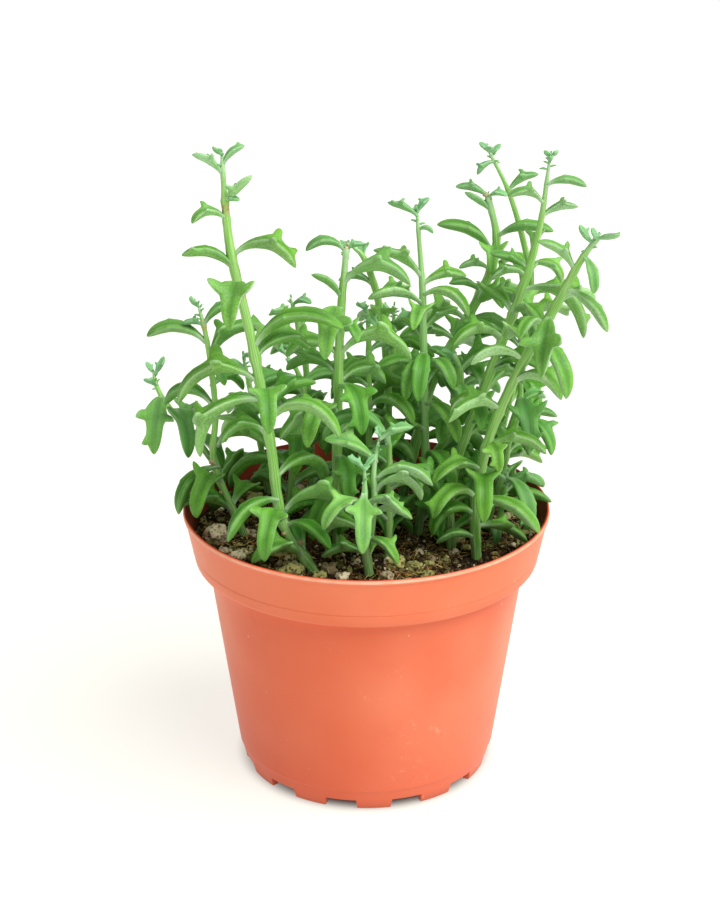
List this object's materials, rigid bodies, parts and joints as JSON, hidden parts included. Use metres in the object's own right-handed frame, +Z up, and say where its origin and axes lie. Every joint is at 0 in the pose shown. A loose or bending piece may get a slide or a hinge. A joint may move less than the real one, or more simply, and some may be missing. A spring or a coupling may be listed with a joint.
{
  "type": "potted string of dolphins",
  "caption": "Potted succulent: upright leafy stems with fleshy, finned, dolphin-shaped leaves, rooted in potting soil in a tapered plastic pot with a lip band and a notched foot ring.",
  "frame": {"origin": "centre of the pot's foot, on the surface that it stands on", "axes": "+Z up along the pot's axis, -Y towards the plant's front, +X to the right seen from the front"},
  "size_m": [0.1904, 0.1524, 0.2714],
  "materials": {
    "pot": "satin moulded terracotta-coloured plastic",
    "soil": "loose dark peat mix with pumice and fibre",
    "plant": "smooth fleshy green with a faint pale bloom"
  },
  "bodies": {
    "root": {"pot": "pot", "soil": "soil", "stem_tall_left": "plant", "stem_left": "plant", "stem_left_mid": "plant", "stem_centre_left": "plant", "stem_front": "plant", "stem_centre_short": "plant", "stem_centre_right": "plant", "stem_right_cut": "plant", "stem_thin_right": "plant", "stem_tall_right": "plant", "stem_lean_right": "plant", "stem_right": "plant", "stem_right_low": "plant", "stem_lean_back": "plant", "stem_back_left": "plant", "stem_back_centre": "plant", "stem_small_centre": "plant", "stem_far_left": "plant", "stem_far_centre": "plant", "stem_far_right": "plant"}
  },
  "joints": []
}
